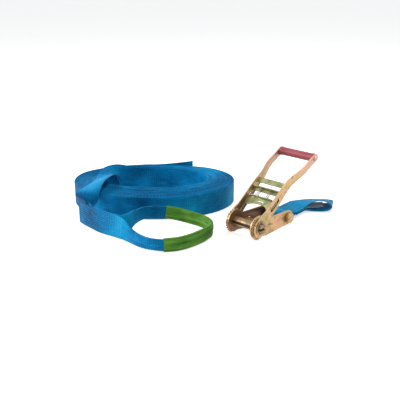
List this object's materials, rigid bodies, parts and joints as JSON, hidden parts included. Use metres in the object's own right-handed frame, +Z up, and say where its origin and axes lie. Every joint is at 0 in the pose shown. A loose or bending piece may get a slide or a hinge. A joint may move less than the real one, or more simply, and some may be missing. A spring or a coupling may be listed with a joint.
{
  "type": "slackline set",
  "caption": "Flat webbing line coiled on its edge, with a sleeved eye, beside a long-handled ratchet tensioner on a short sewn strap.",
  "frame": {"origin": "centre of the flat underside of the ratchet's base plate, on the floor", "axes": "+X along the ratchet's shafts, +Y along its base from the spindle to the strap bolt, +Z up"},
  "size_m": [0.5111, 0.4505, 0.1415],
  "materials": {
    "webbing": "woven polyester, slight sheen",
    "sleeve": "wrinkled woven sleeve",
    "label": "matte",
    "zinc_gold": "yellow passivated zinc",
    "zinc_dark": "yellow passivated zinc",
    "zinc_green": "yellow-green passivated zinc",
    "grip": "satin",
    "spring": "bright"
  },
  "bodies": {
    "base": {"base_frame": "zinc_gold", "strap_bolt": "zinc_gold", "strap_bolt_nut": "zinc_dark", "strap_spacer": "zinc_dark", "short_strap": "webbing", "strap_label": "label", "main_line_coil": "webbing", "main_line_lead": "webbing", "eye_seam_end": "webbing", "eye_loop": "webbing", "eye_sleeve": "sleeve"},
    "spindle": {"spindle_half_upper": "zinc_dark", "spindle_half_lower": "zinc_dark", "ratchet_wheel_left": "zinc_gold", "ratchet_wheel_right": "zinc_gold", "spindle_washer_left": "zinc_gold", "spindle_washer_right": "zinc_gold", "split_pin_left": "zinc_dark", "split_pin_right": "zinc_dark"},
    "handle": {"handle_arm_left": "zinc_gold", "handle_arm_right": "zinc_gold", "handle_lower_bar": "zinc_green", "handle_upper_bar": "zinc_green", "handle_grip": "grip", "grip_bolt": "zinc_gold", "grip_bolt_nut": "zinc_gold", "release_spring_left": "spring", "release_spring_right": "spring"},
    "release": {"release_plate": "zinc_green"},
    "base_lock": {"base_lock": "zinc_gold"}
  },
  "joints": [
    {"name": "handle_swing", "type": "hinge", "parent": "base", "child": "handle", "pos_m": [0, -0.06, 0.027], "axis": [1, 0, 0], "range_deg": [-15, 135]},
    {"name": "spindle_spin", "type": "hinge", "parent": "base", "child": "spindle", "pos_m": [0, -0.06, 0.027], "axis": [1, 0, 0], "continuous": true},
    {"name": "release_slide", "type": "slide", "parent": "handle", "child": "release", "axis": [0, 0.809, 0.5878], "range_m": [0, 0.007], "stiffness_N_per_m": 900, "springref_m": -0.002, "deforming": ["release_spring_left", "release_spring_right"]},
    {"name": "base_lock_slide", "type": "slide", "parent": "base", "child": "base_lock", "axis": [0, 0.9877, -0.1564], "range_m": [0, 0.006], "stiffness_N_per_m": 900, "springref_m": -0.002}
  ]
}
